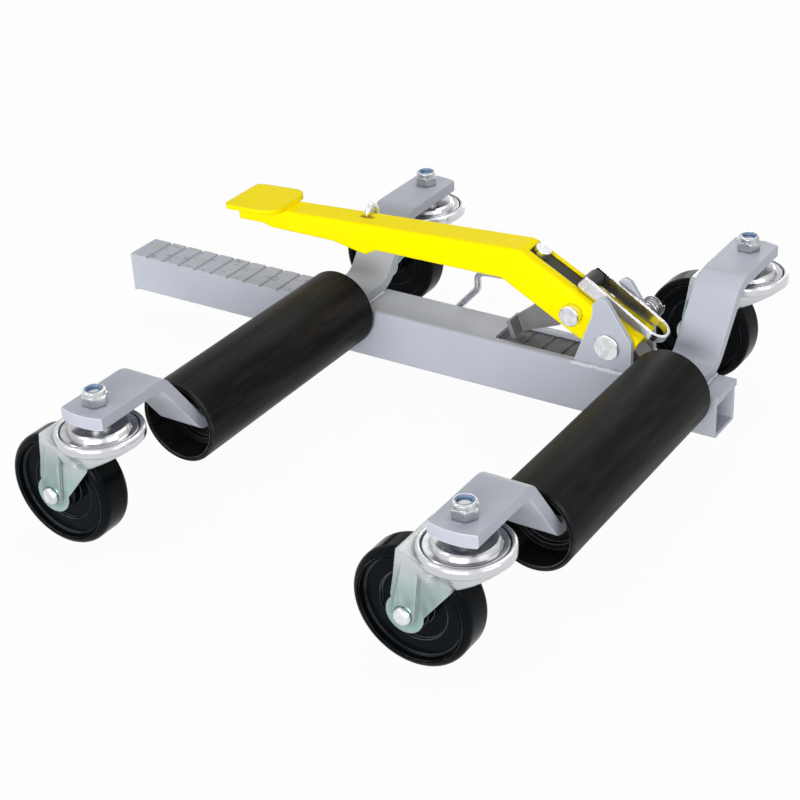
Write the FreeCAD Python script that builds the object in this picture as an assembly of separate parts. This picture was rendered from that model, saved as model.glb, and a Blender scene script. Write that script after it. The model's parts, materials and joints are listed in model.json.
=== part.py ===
import FreeCAD, Part
import math
import os

Vector = FreeCAD.Vector
ORIGIN = Vector(0, 0, 0)
AXIS_X = Vector(1, 0, 0)
AXIS_Y = Vector(0, 1, 0)
AXIS_Z = Vector(0, 0, 1)
FULL_TURN = 360.0
QUARTER_TURN = 90.0
samples_per_turn = 60

# Lengths in millimetres, angles in degrees, the floor at z = 0

# Fits and clearances
cut_overrun = 6.0
flat_cut_limit = 2.0
running_clearance = 0.05
rest_gap = 0.3
seat_gap = 0.05
joining_tolerance = 1e-6
slide_clearance = 0.5

# Crossbar: outer tube, ratchet tube, rack plate
bar_length = 645.0
bar_end_reach = 40.0
roller_spacing = 340.0
tube_size = 50.0
tube_wall = 4.5
tube_corner = 4.0
tube_lift = 23.0
tube_overhang = 25.0
closed_gap = 9.0
bar_wall = 3.0
bar_corner = 3.0
rack_thickness = 6.0
rack_overhang = 1.5
end_cap_thickness = 3.0
window_length = 141.0
window_end_margin = 8.0
window_half_width = 18.0
window_corner = 4.0

# Ratchet notches
tooth_pitch = 20.4
tooth_depth = 1.8
tooth_ramp = 4.5
tooth_start = 20.0
teeth_stop = 70.0

# Arms
stem_span = 496.0
crossbar_setback = 130.5
arm_width = 42.0
arm_thickness = 11.0
arm_top = 137.0
arm_end_reach = 22.0
arm_end_bulge = 4.2
arm_edge_rounding = 1.4
front_slope = 54.0
front_bend_radius = 14.0
front_foot_inset = 8.0
front_foot_reach = 19.0
rear_slope = 50.0
rear_bend_radius = 26.0
rear_foot_inset = 22.0
stem_slot_width = 13.4
stem_slot_travel = 5.0

# Rollers
roller_radius = 37.6
roller_wall = 4.5
roller_length = 243.5
roller_height = 71.5
roller_gap = 4.0
roller_rim_rounding = 1.5
axle_radius = 9.0
hub_thickness = 14.0
front_hub_inset = 26.0
rear_hub_inset = 6.0
hub_boss_radius = 17.0
hub_boss_step = 4.0
hub_rim_width = 5.0
hub_screw_radius = 3.6
hub_screw_head = 3.0
hub_screw_shank = 1.8
hub_screw_ring = 22.0
hub_screw_angle = 233.0

# Casters
wheel_radius = 51.0
wheel_width = 32.0
wheel_shoulder = 7.0
wheel_lip = 7.0
wheel_dish_depth = 7.0
wheel_step_radius = 29.0
wheel_step = 2.5
wheel_hub_radius = 16.5
wheel_hub_drop = 1.0
trail = 41.5
fork_sheet = 3.0
fork_gap = 2.5
fork_bend = 7.0
fork_end_radius = 16.0
fork_rib_height = 2.2
fork_rib_half_width = 6.5
fork_rib_end_radius = 9.5
hood_drop = 26.0
hood_tail = 50.0
hood_flare = 14.0
hood_nose = 14.0
rivet_radius = 4.0
rivet_head_radius = 7.6
rivet_head_height = 4.0
rivet_rounding = 3.6
bush_radius = 8.0
bush_flange_radius = 14.0
race_drop = 15.5
dish_radius = 37.0
dish_depth = 4.0
dish_rim_height = 4.6
dish_rim_width = 4.4
dish_rounding = 2.6
cap_step_radius = 26.5
cap_shoulder_radius = 24.5
cap_neck_radius = 11.5
cap_skirt = 4.0
cap_height = 8.4
cap_rounding = 1.8
stem_radius = 6.0
stem_tip_drop = 2.4
kingpin_head_radius = 11.0
kingpin_head_height = 4.5
nut_flats = 19.0
nut_hex_height = 9.0
nut_collar_radius = 9.2
nut_collar_height = 4.2
nut_chamfer = 1.2
ring_width = 1.4
ring_depth = 3.0

# Pedal
pivot_setback = 32.0
pivot_height = 22.0
pedal_slope = 28.0
pedal_droop = 3.0
pedal_sheet = 3.0
pedal_half_width = 17.5
knee_to_pivot = 112.75
pivot_depth = 18.2
pedal_tail = 20.0
pedal_tail_rounding = 12.0
incline_depth = 34.8
knee_radius = 16.0
arm_depth = 28.9
pedal_arm_length = 310.0
pedal_edge_rounding = 3.6
toe_half_width = 14.6
pad_length = 61.0
pad_width = 57.0
pad_thickness = 4.5
pad_overhang = 7.0
pad_front_rounding = 6.0
pad_rear_rounding = 15.0
slot_length = 15.0
slot_width = 7.5
slot_offset = 3.5
slot_reach = 172.0

# Pedal pins and the bar in the pedal's window
pivot_radius = 6.0
pivot_head_radius = 12.0
pivot_head_height = 2.8
pivot_tail = 6.0
clip_radius = 9.5
clip_thickness = 2.0
spacer_radius = 10.0
pawl_pin_back = 42.6
pawl_pin_rise = 0.7
pawl_pin_radius = 6.0
pawl_pin_head_radius = 9.5
pawl_pin_head = 9.0
pin_rounding = 1.2
pedal_window_start = 5.5
pedal_window_end = 124.0
pedal_window_half_width = 9.6
lane_offset = 3.5
release_bar_thickness = 4.0
release_bar_half_width = 9.9
release_bar_start = 4.8
release_bar_end = 114.0
knuckle_reach = 65.8
knuckle_rise = 7.6
knuckle_radius = 7.2
knuckle_half_width = 9.0
bolt_reach = 14.5
bolt_head_radius = 7.4
bolt_head_height = 8.0
bolt_shank_radius = 4.0
bolt_nut_height = 4.0

# Release yoke
yoke_sheet = 2.5
yoke_half_width = 13.4
yoke_end_half_width = 13.0
yoke_heel = 7.0
yoke_reach = 82.0
yoke_rise = 7.8
yoke_end_rise = 2.6
yoke_end_drop = 3.6
yoke_rounding = 3.0
yoke_pin_radius = 3.0
yoke_lift = 1.2

# Ears, spring and post
ear_thickness = 5.0
ear_height = 67.5
ear_base = 56.0
ear_toe = 23.0
ear_rounding = 5.0
post_radius = 5.0
post_length = 16.0
post_forward = 13.0
post_rise = 14.0
spring_radius = 9.4
spring_wire_radius = 0.95
spring_pitch = 3.5
spring_turns = 4

# Pawls
pawl_half_width = 9.4
pawl_boss_radius = 9.0
pawl_reach = 62.4
pawl_clearance = 5.2
pawl_sheet = 4.0
pawl_lip_lean = 5.9
pawl_lip_height = 15.6
hold_boss_radius = 10.5
hold_tip_radius = 3.0
hold_clearance = 0.4
hold_reach = 22.0
hold_depth = 9.0
hold_tail_reach = 21.5
hold_tail_drop = 14.0
hold_tail_radius = 5.0

# Lock hook and clip wire
hook_radius = 3.4
hook_y = 30.0
hook_eye_radius = 10.5
hook_eye_half = 4.4
hook_run = 124.0
hook_sag = 6.5
hook_drop = 18.0
hook_kick = 33.0
hook_kick_drop = 36.0
hook_bend = 9.0
clip_wire_radius = 2.7
clip_inner_drop = 16.0
clip_outer_drop = 16.0
clip_rise = 9.0
clip_bend = 7.5

# Share of a small rounding that its flat takes from each side
flat_share = 0.7
# Shares of the pedal's arm: along its length, down its wall
pedal_hem_shares = [(0.493, 0.82), (0.537, 1.03), (0.65, 0.74), (0.88, 0.63), (0.91, 0.52), (1.0, 0.50)]
# Shares that pick out the pedal's upper edges
ridge_share = 0.25
upright_share = 0.9
# Shares of the ear's base and height, from its base's front corner on the left
ear_outline_shares = [(0.32, 0.71), (0.34, 0.90), (0.47, 1.0), (0.58, 0.955), (0.99, 0.44), (1.0, 0.10)]
# Shares of the fork's trail and of the height from the wheel's axle to the fork's top
fork_outline_shares = [(-1.07, 1.0), (-1.27, 0.25), (-1.2, -0.1), (-0.80, -0.1), (-0.58, 0.05),
                       (0.10, 0.64), (0.66, 0.86)]
fork_tip_rounding = 4.0
fork_rib_top_shares = (-0.76, 0.95)
# Shares of the run from the drive pawl's lip to its pin: along its top edge, and back along its underside
pawl_cheek_shares = [(0.28, 0.56), (0.90, 1.32), (1.08, 0.68), (0.61, -0.06)]

# Positions that follow from the sizes
bar_left = -bar_length / 2
bar_right = bar_length / 2
right_x = bar_right - bar_end_reach
left_x = right_x - roller_spacing
crossbar_y = stem_span / 2 - crossbar_setback
tube_left = left_x - tube_overhang
tube_right = right_x - arm_width / 2 - closed_gap
tube_top = tube_lift + tube_size
bar_size = tube_size - 2 * (tube_wall + slide_clearance)
bar_bottom = tube_lift + tube_wall + slide_clearance
bar_top = bar_bottom + bar_size
rack_bottom = bar_top - rack_thickness
tube_front = crossbar_y - tube_size / 2
tube_back = crossbar_y + tube_size / 2
bar_front = crossbar_y - bar_size / 2
roller_back = tube_front - roller_gap
roller_front = roller_back - roller_length
arm_middle = arm_top - arm_thickness / 2
arm_under = arm_top - arm_thickness
foot_end = roller_front + front_foot_reach
fork_top = arm_under - race_drop
fork_half_width = wheel_width / 2 + fork_gap + fork_sheet
stem_bore = stem_radius + running_clearance
rim_inner = dish_radius - dish_rim_width
cap_radius = rim_inner - rest_gap
pivot_x = tube_right - pivot_setback
pivot_z = tube_top + pivot_height
ear_inner = tube_size / 2 - ear_thickness
lane_y = crossbar_y + lane_offset


# Drawing helpers

def on_xz(y):
    return lambda u, v: Vector(u, y, v)


def on_xy(z):
    return lambda u, v: Vector(u, v, z)


def on_yz(x):
    return lambda u, v: Vector(x, u, v)


def rounded_face(corners, place):
    """A face inside corners (u, v, radius), each corner rounded by its radius."""
    spots = [Vector(u, v, 0) for u, v, radius in corners]
    arcs = []
    for i, (u, v, radius) in enumerate(corners):
        back = (spots[i - 1] - spots[i]).normalize()
        ahead = (spots[(i + 1) % len(spots)] - spots[i]).normalize()
        half = back.getAngle(ahead) / 2
        setback = radius / math.tan(half)
        start = spots[i] + back * setback
        end = spots[i] + ahead * setback
        middle = spots[i]
        if radius > 0:
            bisector = (back + ahead).normalize()
            middle = spots[i] + bisector * (radius / math.sin(half) - radius)
        arcs.append((start, middle, end))
    edges = []
    for i, (start, middle, end) in enumerate(arcs):
        if corners[i][-1] > 0:
            bend = [place(p.x, p.y) for p in (start, middle, end)]
            edges.append(Part.Arc(*bend).toShape())
        following = arcs[(i + 1) % len(arcs)][0]
        if not end.isEqual(following, joining_tolerance):
            edges.append(Part.makeLine(place(end.x, end.y), place(following.x, following.y)))
    return Part.Face(Part.Wire(edges))


def plain_face(points, place):
    return rounded_face([(u, v, 0) for u, v in points], place)


def side_plate(corners, y_start, y_end):
    """A plate with its outline in x and z, between two depths."""
    return rounded_face(corners, on_xz(y_start)).extrude(AXIS_Y * (y_end - y_start))


def block(x_start, x_end, y_start, y_end, z_start, z_end):
    corner = Vector(x_start, y_start, z_start)
    return Part.makeBox(x_end - x_start, y_end - y_start, z_end - z_start, corner)


def turned(corners, base, along_y=False):
    """A solid of revolution from corners (radius, height, rounding) about z or y."""
    shape = rounded_face(cut_flats(corners), on_xz(0)).revolve(ORIGIN, AXIS_Z, FULL_TURN)
    if along_y:
        shape.rotate(ORIGIN, AXIS_X, -QUARTER_TURN)
    shape.translate(base)
    return shape


def cut_flats(corners):
    """The same profile with each small rounding cut as a flat."""
    spots = [Vector(u, v, 0) for u, v, rounding in corners]
    cut = []
    for i, (u, v, rounding) in enumerate(corners):
        if rounding == 0 or rounding > flat_cut_limit:
            cut.append((u, v, rounding))
            continue
        for neighbour in (spots[i - 1], spots[(i + 1) % len(spots)]):
            run = (neighbour - spots[i]).normalize()
            spot = spots[i] + run * (flat_share * rounding)
            cut.append((spot.x, spot.y, 0))
    return cut


def rod_y(radius, x, z, y_start, y_end):
    return Part.makeCylinder(radius, y_end - y_start, Vector(x, y_start, z), AXIS_Y)


def crossing(point, direction, other, other_direction):
    """Where two lines in a plane, given as (u, v) pairs, meet."""
    spread = direction[0] * other_direction[1] - direction[1] * other_direction[0]
    du = other[0] - point[0]
    dv = other[1] - point[1]
    travel = (du * other_direction[1] - dv * other_direction[0]) / spread
    return (point[0] + direction[0] * travel, point[1] + direction[1] * travel)


def strap_corners(path, thickness, bend_radius):
    """Outline of a flat strap of even thickness that follows a bent centre line."""
    half = thickness / 2
    spots = [Vector(u, v, 0) for u, v in path]
    runs = [(b - a).normalize() for a, b in zip(spots, spots[1:])]
    normals = [Vector(-run.y, run.x, 0) for run in runs]
    near = [(spots[0] + normals[0] * half, 0)]
    far = [(spots[0] - normals[0] * half, 0)]
    for i, spot in enumerate(spots[1:-1]):
        middle = (normals[i] + normals[i + 1]).normalize()
        reach = half / middle.dot(normals[i])
        turn = runs[i].x * runs[i + 1].y - runs[i].y * runs[i + 1].x
        inner = bend_radius - half
        outer = bend_radius + half
        near.append((spot + middle * reach, inner if turn > 0 else outer))
        far.append((spot - middle * reach, outer if turn > 0 else inner))
    near.append((spots[-1] + normals[-1] * half, 0))
    far.append((spots[-1] - normals[-1] * half, 0))
    return [(p.x, p.y, radius) for p, radius in near + far[::-1]]


def rounded_path(points, bend_radius):
    """A wire of straight runs joined by tangent bends."""
    edges = []
    start = points[0]
    for before, here, after in zip(points, points[1:], points[2:]):
        back = (before - here).normalize()
        ahead = (after - here).normalize()
        half = back.getAngle(ahead) / 2
        setback = bend_radius / math.tan(half)
        bisector = (back + ahead).normalize()
        middle = here + bisector * (bend_radius / math.sin(half) - bend_radius)
        edges.append(Part.makeLine(start, here + back * setback))
        edges.append(Part.Arc(here + back * setback, middle, here + ahead * setback).toShape())
        start = here + ahead * setback
    edges.append(Part.makeLine(start, points[-1]))
    return Part.Wire(edges)


def swept_rod(wire, radius):
    start = wire.Edges[0]
    heading = start.tangentAt(start.FirstParameter)
    section = Part.Wire([Part.makeCircle(radius, start.valueAt(start.FirstParameter), heading)])
    return wire.makePipeShell([section], True, False)


def save(name, *solids):
    shape = solids[0] if len(solids) == 1 else Part.makeCompound(list(solids))
    shape.exportStep("parts/" + name + ".step")


# Crossbar

def square_tube(x_start, x_end, y_middle, z_bottom, width, height, corner):
    low = y_middle - width / 2
    high = y_middle + width / 2
    top = z_bottom + height
    corners = [(low, z_bottom, corner), (high, z_bottom, corner), (high, top, corner), (low, top, corner)]
    return rounded_face(corners, on_yz(x_start)).extrude(AXIS_X * (x_end - x_start))


def outer_tube():
    tube = square_tube(tube_left, tube_right, crossbar_y, tube_lift, tube_size, tube_size, tube_corner)
    inner = tube_size - 2 * tube_wall
    inner_corner = bar_corner / 2
    hollow = square_tube(tube_left - cut_overrun, tube_right + cut_overrun, crossbar_y,
                         tube_lift + tube_wall, inner, inner, inner_corner)
    end = tube_right - window_end_margin
    start = end - window_length
    near = crossbar_y - window_half_width
    far = crossbar_y + window_half_width
    corners = [(start, near, window_corner), (end, near, window_corner),
               (end, far, window_corner), (start, far, window_corner)]
    floor = tube_top - tube_wall - slide_clearance
    window = rounded_face(corners, on_xy(floor)).extrude(AXIS_Z * cut_overrun)
    return tube.cut(hollow).cut(window)


def ratchet_tube():
    start = bar_left + end_cap_thickness
    end = bar_right - rack_overhang
    height = bar_size - rack_thickness
    low = crossbar_y - bar_size / 2
    high = crossbar_y + bar_size / 2
    corners = [(low, bar_bottom, bar_corner), (high, bar_bottom, bar_corner),
               (high, rack_bottom, 0), (low, rack_bottom, 0)]
    tube = rounded_face(corners, on_yz(start)).extrude(AXIS_X * (end - start))
    hollow = square_tube(start - cut_overrun, end + cut_overrun, crossbar_y, bar_bottom + bar_wall,
                         bar_size - 2 * bar_wall, height - 2 * bar_wall, bar_corner / 2)
    return tube.cut(hollow)


def rack_plate():
    first = bar_left + tooth_start
    last = right_x - teeth_stop
    count = int((last - first) / tooth_pitch) + 1
    outline = [(bar_right, bar_top), (bar_right, rack_bottom), (bar_left, rack_bottom), (bar_left, bar_top)]
    for i in range(count):
        wall = first + i * tooth_pitch
        outline += [(wall, bar_top), (wall, bar_top - tooth_depth), (wall + tooth_ramp, bar_top)]
    return plain_face(outline, on_xz(bar_front)).extrude(AXIS_Y * bar_size)


def bar_end_cap():
    return block(bar_left, bar_left + end_cap_thickness, bar_front, bar_front + bar_size,
                 bar_bottom, rack_bottom)


# Arms

def arm(x, stem_y, heading, low_y, foot_z, end_y, slope, bend_radius):
    """A flat bar bent twice, from the stem down to its foot; heading is +1 or -1 along y."""
    drop = arm_middle - foot_z
    bend_y = low_y - heading * drop / math.tan(math.radians(slope))
    tip_y = stem_y - heading * arm_end_reach
    path = [(tip_y, arm_middle), (bend_y, arm_middle), (low_y, foot_z), (end_y, foot_z)]
    side = rounded_face(strap_corners(path, arm_thickness, bend_radius), on_yz(x - arm_width / 2))
    strap = side.extrude(AXIS_X * arm_width)
    rims = [e for f in strap.Faces if abs(f.normalAt(0, 0).x) > upright_share for e in f.Edges]
    strap = strap.makeFillet(arm_edge_rounding, rims)
    half = arm_width / 2 + cut_overrun
    shoulder = tip_y + heading * arm_end_bulge
    bulge = Part.Arc(Vector(x - arm_width / 2, shoulder, 0), Vector(x, tip_y, 0),
                     Vector(x + arm_width / 2, shoulder, 0)).toShape()
    far = end_y + heading * cut_overrun
    around = [(x + half, shoulder), (x + half, far), (x - half, far), (x - half, shoulder)]
    ends = [v.Point for v in bulge.Vertexes]
    rest = Part.makePolygon([ends[-1]] + [Vector(u, v, 0) for u, v in around] + [ends[0]])
    plan = Part.Face(Part.Wire([bulge] + rest.Edges)).extrude(AXIS_Z * (arm_top + cut_overrun))
    half_slot = stem_slot_width / 2
    slot = stadium(x, stem_y, half_slot, stem_slot_travel, arm_under - cut_overrun)
    return strap.common(plan).cut(slot)


def stadium(x, y, radius, travel, z):
    reach = travel / 2 + radius
    corners = [(x - radius, y - reach, radius), (x + radius, y - reach, radius),
               (x + radius, y + reach, radius), (x - radius, y + reach, radius)]
    return rounded_face(corners, on_xy(z)).extrude(AXIS_Z * (arm_thickness + 2 * cut_overrun))


def front_arm(x):
    return arm(x, -stem_span / 2, 1, roller_front + front_foot_inset, roller_height, foot_end,
               front_slope, front_bend_radius)


def rear_arm(x, seat_z, end_y):
    return arm(x, stem_span / 2, -1, crossbar_y + rear_foot_inset, seat_z + arm_thickness / 2, end_y,
               rear_slope, rear_bend_radius)


# Rollers

def roller_tube(x):
    inner = roller_radius - roller_wall
    corners = [(inner, 0, 0), (roller_radius, 0, roller_rim_rounding),
               (roller_radius, roller_length, roller_rim_rounding), (inner, roller_length, 0)]
    return turned(corners, Vector(x, roller_front, roller_height), True)


def hub(x, y_face, facing):
    """A roller's end disc with a raised boss and rim on its outer face."""
    bore = axle_radius + running_clearance
    outer = roller_radius - roller_wall
    deep = facing * hub_boss_step
    corners = [(bore, 0, 0), (hub_boss_radius, 0, 0), (hub_boss_radius, deep, 0),
               (outer - hub_rim_width, deep, 0), (outer - hub_rim_width, 0, 0), (outer, 0, 0),
               (outer, facing * hub_thickness, 0), (bore, facing * hub_thickness, 0)]
    return turned(corners, Vector(x, y_face, roller_height), True)


def hub_screw_spot(x):
    angle = math.radians(hub_screw_angle)
    return x + hub_screw_ring * math.cos(angle), roller_height + hub_screw_ring * math.sin(angle)


def front_hub(x):
    screw_x, screw_z = hub_screw_spot(x)
    face = roller_front + front_hub_inset
    bore_radius = hub_screw_shank + running_clearance
    bore = rod_y(bore_radius, screw_x, screw_z, face, face + hub_thickness + cut_overrun)
    return hub(x, face, 1).cut(bore)


def hub_screw(x):
    screw_x, screw_z = hub_screw_spot(x)
    seat = hub_boss_step
    corners = [(0, seat - hub_screw_head, 0), (hub_screw_radius, seat - hub_screw_head, pin_rounding),
               (hub_screw_radius, seat, 0), (hub_screw_shank, seat, 0), (hub_screw_shank, hub_thickness, 0),
               (0, hub_thickness, 0)]
    return turned(corners, Vector(screw_x, roller_front + front_hub_inset, screw_z), True)


# Casters, drawn with the stem at x = 0, y = 0

def wheel():
    half = wheel_width / 2
    hub_half = half - wheel_hub_drop
    lip = wheel_radius - wheel_lip
    web = half - wheel_dish_depth
    inner_web = web - wheel_step
    rounding = wheel_step / 2
    lower = [(bush_radius, -hub_half, 0), (wheel_hub_radius, -hub_half, rounding),
             (wheel_hub_radius, -inner_web, 0), (wheel_step_radius, -inner_web, 0),
             (wheel_step_radius, -web, 0), (lip - rounding, -web, rounding),
             (lip, -half, rounding), (wheel_radius, -half, wheel_shoulder)]
    upper = [(r, -h, rounding) for r, h, rounding in lower[::-1]]
    return turned(lower + upper, Vector(-trail, 0, wheel_radius), True)


def hub_bush():
    bore = rivet_radius + running_clearance
    inner = wheel_width / 2 - wheel_hub_drop
    outer = fork_half_width - fork_sheet - rest_gap
    corners = [(bore, -outer, 0), (bush_flange_radius, -outer, 0), (bush_flange_radius, -inner, 0),
               (bush_radius, -inner, 0), (bush_radius, inner, 0), (bush_flange_radius, inner, 0),
               (bush_flange_radius, outer, 0), (bore, outer, 0)]
    return turned(corners, Vector(-trail, 0, wheel_radius), True)


def axle_rivet():
    seat = fork_half_width + fork_rib_height
    crown = seat + rivet_head_height
    corners = [(0, -crown, 0), (rivet_head_radius, -crown, rivet_rounding), (rivet_head_radius, -seat, 0),
               (rivet_radius, -seat, 0), (rivet_radius, seat, 0), (rivet_head_radius, seat, 0),
               (rivet_head_radius, crown, rivet_rounding), (0, crown, 0)]
    return turned(corners, Vector(-trail, 0, wheel_radius), True)


def fork():
    """Pressed fork: a dished head, a hood that runs from its rim into two legs, and a rib on each leg."""
    rise = fork_top - wheel_radius
    inner = fork_half_width - fork_sheet
    hood_low = fork_top - hood_drop
    low = wheel_radius - rise
    plates = block(-2 * wheel_radius, dish_radius, -fork_half_width, fork_half_width, low, hood_low)
    body = plates.fuse(hood(0, hood_low, fork_top))
    for side in (-1, 1):
        body = body.fuse(fork_rib(side, rise))
    body = body.cut(hood(fork_sheet, hood_low, fork_top - fork_sheet))
    spots = [(along * trail, wheel_radius + up * rise) for along, up in fork_outline_shares]
    roundings = [fork_bend / 2, fork_bend, fork_tip_rounding, fork_tip_rounding] + 3 * [fork_bend]
    corners = [(u, v, rounding) for (u, v), rounding in zip(spots, roundings)]
    corners += [(dish_radius, fork_top - dish_depth, 0), (dish_radius, fork_top, 0)]
    shape = body.common(side_plate(corners, -2 * dish_radius, 2 * dish_radius))
    shape = shape.fuse(rod_y(fork_end_radius, -trail, wheel_radius, -fork_half_width, fork_half_width))
    profile = [(0, -dish_depth, 0), (dish_radius, -dish_depth, dish_rounding / 2),
               (dish_radius, dish_rim_height, dish_rounding),
               (rim_inner, dish_rim_height, dish_rounding / 2), (rim_inner, 0, 0), (0, 0, 0)]
    shape = shape.fuse(turned(profile, Vector(0, 0, fork_top)))
    throat = block(-2 * wheel_radius, 2 * wheel_radius, -inner, inner, 0, hood_low)
    throat = throat.fuse(block(-2 * wheel_radius, 0, -inner, inner, hood_low, fork_top - dish_depth))
    bore = rivet_radius + running_clearance
    axle_hole = rod_y(bore, -trail, wheel_radius, -2 * fork_half_width, 2 * fork_half_width)
    stem_hole = Part.makeCylinder(stem_bore, arm_top)
    return shape.cut(throat).cut(axle_hole).cut(stem_hole).removeSplitter()


def hood(inset, low, top):
    """Ruled form from the legs' straight tops up to a round head with a straight tail."""
    half = fork_half_width - inset
    radius = dish_radius - inset
    nose = hood_nose - inset
    swing = math.atan2(half, -hood_tail) - math.acos(radius / math.hypot(hood_tail, half))
    touch_x = radius * math.cos(swing)
    touch_y = radius * math.sin(swing)
    rings = []
    for z, x, y, tip, tail in ((low, nose, half, nose + half / 2, hood_tail + hood_flare),
                               (top, touch_x, touch_y, radius, hood_tail)):
        arc = Part.Arc(Vector(x, -y, z), Vector(tip, 0, z), Vector(x, y, z)).toShape()
        back = [Vector(x, y, z), Vector(-tail, half, z), Vector(-tail, -half, z), Vector(x, -y, z)]
        rings.append(Part.Wire([arc] + Part.makePolygon(back).Edges))
    return Part.makeLoft(rings, True, True)


def fork_rib(side, rise):
    """Flat rib on a leg's outer face, with a round end about the axle."""
    along, up = fork_rib_top_shares
    depths = sorted([side * (fork_half_width - fork_sheet / 2), side * (fork_half_width + fork_rib_height)])
    outline = belt(-trail, wheel_radius, fork_rib_end_radius,
                   along * trail, wheel_radius + up * rise, fork_rib_half_width)
    rib = side_plate(outline, *depths)
    return rib.fuse(rod_y(fork_rib_end_radius, -trail, wheel_radius, *depths))


def race_cap():
    corners = [(stem_bore, rest_gap, 0), (cap_radius, rest_gap, 0), (cap_radius, cap_skirt, cap_rounding),
               (cap_step_radius, cap_skirt, 0), (cap_shoulder_radius, cap_height, cap_rounding),
               (cap_neck_radius, cap_height, 0), (cap_neck_radius, race_drop, 0), (stem_bore, race_drop, 0)]
    return turned(corners, Vector(0, 0, fork_top))


def stem():
    head_top = fork_top - dish_depth - rest_gap
    head_bottom = head_top - kingpin_head_height
    tip = arm_top + nut_hex_height + nut_collar_height - stem_tip_drop
    corners = [(0, head_bottom, 0), (kingpin_head_radius, head_bottom, pin_rounding),
               (kingpin_head_radius, head_top, 0), (stem_radius, head_top, 0),
               (stem_radius, tip, pin_rounding), (0, tip, 0)]
    return turned(corners, ORIGIN)


def stem_nut():
    corner = nut_flats / math.sqrt(3)
    points = [(corner * math.cos(k * math.pi / 3), corner * math.sin(k * math.pi / 3)) for k in range(6)]
    hexagon = plain_face(points, on_xy(0)).extrude(AXIS_Z * nut_hex_height)
    height = nut_hex_height + nut_collar_height
    slope = nut_chamfer * 2
    profile = [(0, 0, 0), (corner - nut_chamfer, 0, 0), (corner, nut_chamfer, 0),
               (corner, nut_hex_height - nut_chamfer, 0), (corner - slope, nut_hex_height, 0),
               (0, nut_hex_height, 0)]
    body = hexagon.common(turned(profile, ORIGIN))
    collar_profile = [(0, 0, 0), (nut_collar_radius, 0, 0), (nut_collar_radius, height, nut_chamfer),
                      (0, height, 0)]
    collar = turned(collar_profile, ORIGIN)
    bore = Part.makeCylinder(stem_bore, height + cut_overrun)
    seat = Part.makeCylinder(stem_bore + ring_width, ring_depth + cut_overrun,
                             Vector(0, 0, height - ring_depth))
    shape = body.fuse(collar).cut(bore).cut(seat).removeSplitter()
    shape.translate(Vector(0, 0, arm_top))
    return shape


def nylon_ring():
    top = arm_top + nut_hex_height + nut_collar_height
    outer = stem_bore + ring_width
    corners = [(stem_bore, top - ring_depth, 0), (outer, top - ring_depth, 0), (outer, top, ring_width / 2),
               (stem_bore, top, 0)]
    return turned(corners, ORIGIN)


# Pedal frame of reference: s along the incline from the knee, h above its top face

slope_angle = math.radians(pedal_slope)
droop_angle = math.radians(pedal_droop)
down_slope = (math.cos(slope_angle), -math.sin(slope_angle))
off_slope = (math.sin(slope_angle), math.cos(slope_angle))
along_arm = (-math.cos(droop_angle), -math.sin(droop_angle))
off_arm = (-math.sin(droop_angle), math.cos(droop_angle))
knee_x = pivot_x - down_slope[0] * knee_to_pivot + off_slope[0] * pivot_depth
knee_z = pivot_z - down_slope[1] * knee_to_pivot + off_slope[1] * pivot_depth


def on_incline(s, h):
    return (knee_x + down_slope[0] * s + off_slope[0] * h, knee_z + down_slope[1] * s + off_slope[1] * h)


def on_arm(a, depth):
    return (knee_x + along_arm[0] * a - off_arm[0] * depth, knee_z + along_arm[1] * a - off_arm[1] * depth)


def incline_corners(points):
    """Corners (s, h, rounding) carried into x and z."""
    return [on_incline(s, h) + (rounding,) for s, h, rounding in points]


pedal_end = knee_to_pivot + pedal_tail
pawl_pin_x, pawl_pin_z = on_incline(knee_to_pivot - pawl_pin_back, pawl_pin_rise - pivot_depth)
knuckle_x, knuckle_z = on_incline(knuckle_reach, knuckle_rise)


toe_x = on_arm(pedal_arm_length, 0)[0] - cut_overrun
heel_x = on_incline(pedal_end, 0)[0] + cut_overrun


def pedal_half_at(x):
    along = (x - toe_x) / (heel_x - toe_x)
    return toe_half_width + along * (pedal_half_width - toe_half_width)


def pedal_plan(inset):
    """The pedal from above, tapering from its pivot end to its toe."""
    half = pedal_half_width - inset
    toe = toe_half_width - inset
    points = [(heel_x, crossbar_y - half), (heel_x, crossbar_y + half),
              (toe_x, crossbar_y + toe), (toe_x, crossbar_y - toe)]
    return plain_face(points, on_xy(tube_top)).extrude(AXIS_Z * (knee_z - tube_top + cut_overrun))


def pedal_channel():
    incline_low = on_incline(0, -incline_depth)
    arm_low = on_arm(0, arm_depth)
    knee_low = crossing(incline_low, down_slope, arm_low, along_arm)
    corners = [(knee_x, knee_z, knee_radius), on_incline(pedal_end, 0) + (0,),
               on_incline(pedal_end, -incline_depth) + (pedal_tail_rounding,), knee_low + (pedal_sheet,)]
    for along, down in pedal_hem_shares:
        corners.append(on_arm(along * pedal_arm_length, down * arm_depth) + (pin_rounding,))
    corners.append(on_arm(pedal_arm_length, 0) + (0,))
    reach = crossbar_y - 2 * pedal_half_width
    outer = side_plate(corners, reach, reach + 4 * pedal_half_width).common(pedal_plan(0))
    ridge = [e for e in outer.Edges if is_ridge(e)]
    outer = outer.makeFillet(pedal_edge_rounding, ridge)
    knee_inner = crossing(on_incline(0, -pedal_sheet), down_slope, on_arm(0, pedal_sheet), along_arm)
    past = pedal_end + cut_overrun
    wall_end = pedal_arm_length - pedal_sheet
    deep = 2 * incline_depth
    inside = [knee_inner + (knee_radius - pedal_sheet,), on_incline(past, -pedal_sheet) + (0,),
              on_incline(past, -deep) + (0,), on_arm(wall_end, deep) + (0,),
              on_arm(wall_end, pedal_sheet) + (0,)]
    hollow = side_plate(inside, reach, reach + 4 * pedal_half_width)
    hollow = hollow.common(pedal_plan(pedal_sheet))
    shape = outer.cut(hollow).cut(pedal_openings())
    return shape.removeSplitter()


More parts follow.
